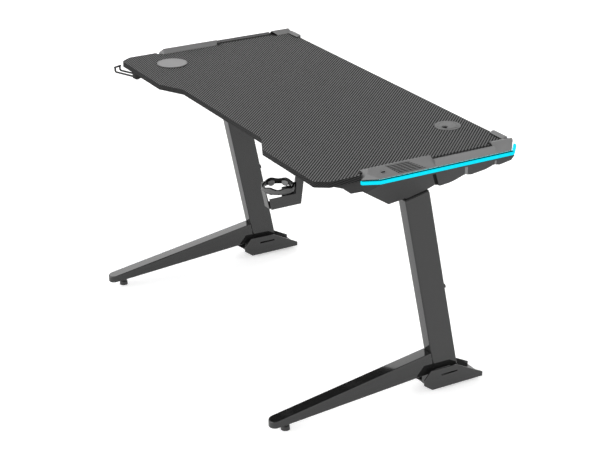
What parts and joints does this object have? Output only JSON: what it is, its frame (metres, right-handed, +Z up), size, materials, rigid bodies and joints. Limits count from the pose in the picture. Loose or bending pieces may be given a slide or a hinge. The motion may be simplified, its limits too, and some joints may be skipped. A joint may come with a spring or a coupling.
{
  "type": "gaming desk",
  "caption": "Wide desk with recessed front edge, lit end bars, leaning telescopic legs on long feet, cup holder, headset hook, cable grommet and charging disc.",
  "frame": {"origin": "on the floor under the middle of the desk's overall box", "axes": "+X to the right along the desk as its user sits at it, +Y to the back, +Z up"},
  "size_m": [1.31, 0.746, 0.762],
  "materials": {
    "carbon_look_foil": "embossed diagonal ribs",
    "fibreboard": "black painted edges",
    "grey_abs": "fine moulded texture",
    "grille_abs": "ribbed",
    "lit_acrylic": "lit cyan",
    "circuit_board": "white solder mask",
    "black_abs": "fine moulded texture",
    "coated_steel": "satin powder coat",
    "inner_steel": "satin black",
    "black_nylon": "moulded",
    "black_zinc": "black zinc plate",
    "grommet_abs": "fine moulded texture",
    "charger_shell": "moulded",
    "charger_top": "gloss",
    "copper": "enamelled winding",
    "button_abs": "gloss",
    "lead_jacket": "smooth",
    "ring_rubber": "smooth",
    "hook_steel": "gloss black"
  },
  "bodies": {
    "left_leg": {"column_left": "coated_steel", "guide_sleeve_left": "black_nylon", "front_foot_left": "coated_steel", "rear_base_left": "coated_steel", "leg_bolts_left": "black_zinc", "height_bolts_left": "black_zinc"},
    "desktop": {"desktop_panel": "fibreboard", "top_sheet": "carbon_look_foil", "crossbeam_front": "coated_steel", "crossbeam_rear": "coated_steel", "bracket_screws": "black_zinc", "beam_bolts": "black_zinc", "casing_screws": "black_zinc", "grommet_sleeve": "grommet_abs", "charger_housing": "charger_shell", "charger_pad": "charger_top", "charger_coil": "copper", "light_controller": "black_abs", "light_lead": "lead_jacket", "lead_clips": "black_nylon", "cup_frame": "coated_steel", "cup_ring": "ring_rubber", "cup_screws": "black_zinc", "hook_plate": "hook_steel", "hook_screws": "black_zinc", "light_bar_left": "grey_abs", "light_bar_right": "grey_abs", "bar_grille_left": "grille_abs", "bar_grille_right": "grille_abs", "light_guide_left": "lit_acrylic", "light_guide_right": "lit_acrylic", "led_strip_left": "circuit_board", "led_strip_right": "circuit_board", "side_casing_left": "black_abs", "side_casing_right": "black_abs", "top_bracket_left": "coated_steel", "top_bracket_right": "coated_steel", "inner_tube_left": "inner_steel", "inner_tube_right": "inner_steel"},
    "right_leg": {"column_right": "coated_steel", "guide_sleeve_right": "black_nylon", "front_foot_right": "coated_steel", "rear_base_right": "coated_steel", "leg_bolts_right": "black_zinc", "height_bolts_right": "black_zinc"},
    "glide_front_left": {"glide_front_left": "black_nylon"},
    "glide_front_right": {"glide_front_right": "black_nylon"},
    "glide_rear_left": {"glide_rear_left": "black_nylon"},
    "glide_rear_right": {"glide_rear_right": "black_nylon"},
    "grommet_cap": {"grommet_cap": "grommet_abs"},
    "light_button": {"light_button": "button_abs"},
    "hook_arm": {"hook_arm": "hook_steel"}
  },
  "joints": [
    {"name": "height_left", "type": "slide", "parent": "left_leg", "child": "desktop", "axis": [0, -0.1994, 0.9799], "range_m": [0, 0.1]},
    {"name": "height_right", "type": "slide", "parent": "desktop", "child": "right_leg", "axis": [0, 0.1994, -0.9799], "range_m": [0, 0.1]},
    {"name": "glide_front_left_turn", "type": "hinge", "parent": "left_leg", "child": "glide_front_left", "pos_m": [-0.551, -0.322, 0], "axis": [0, 0, 1], "continuous": true},
    {"name": "glide_front_right_turn", "type": "hinge", "parent": "right_leg", "child": "glide_front_right", "pos_m": [0.551, -0.322, 0], "axis": [0, 0, 1], "continuous": true},
    {"name": "glide_rear_left_turn", "type": "hinge", "parent": "left_leg", "child": "glide_rear_left", "pos_m": [-0.551, 0.288, 0], "axis": [0, 0, 1], "continuous": true},
    {"name": "glide_rear_right_turn", "type": "hinge", "parent": "right_leg", "child": "glide_rear_right", "pos_m": [0.551, 0.288, 0], "axis": [0, 0, 1], "continuous": true},
    {"name": "cap_turn", "type": "hinge", "parent": "desktop", "child": "grommet_cap", "pos_m": [0.432, 0.281, 0.75], "axis": [0, 0, 1], "continuous": true},
    {"name": "button_press", "type": "slide", "parent": "desktop", "child": "light_button", "axis": [-0.7412, 0, -0.6713], "range_m": [0, 0.001], "stiffness_N_per_m": 400},
    {"name": "hook_swivel", "type": "hinge", "parent": "desktop", "child": "hook_arm", "pos_m": [-0.552, -0.238, 0.714], "axis": [0, 0, 1], "range_deg": [-20, 150]}
  ],
  "couplings": [
    {"joint": "height_right", "follows": "height_left", "ratio": 1}
  ]
}
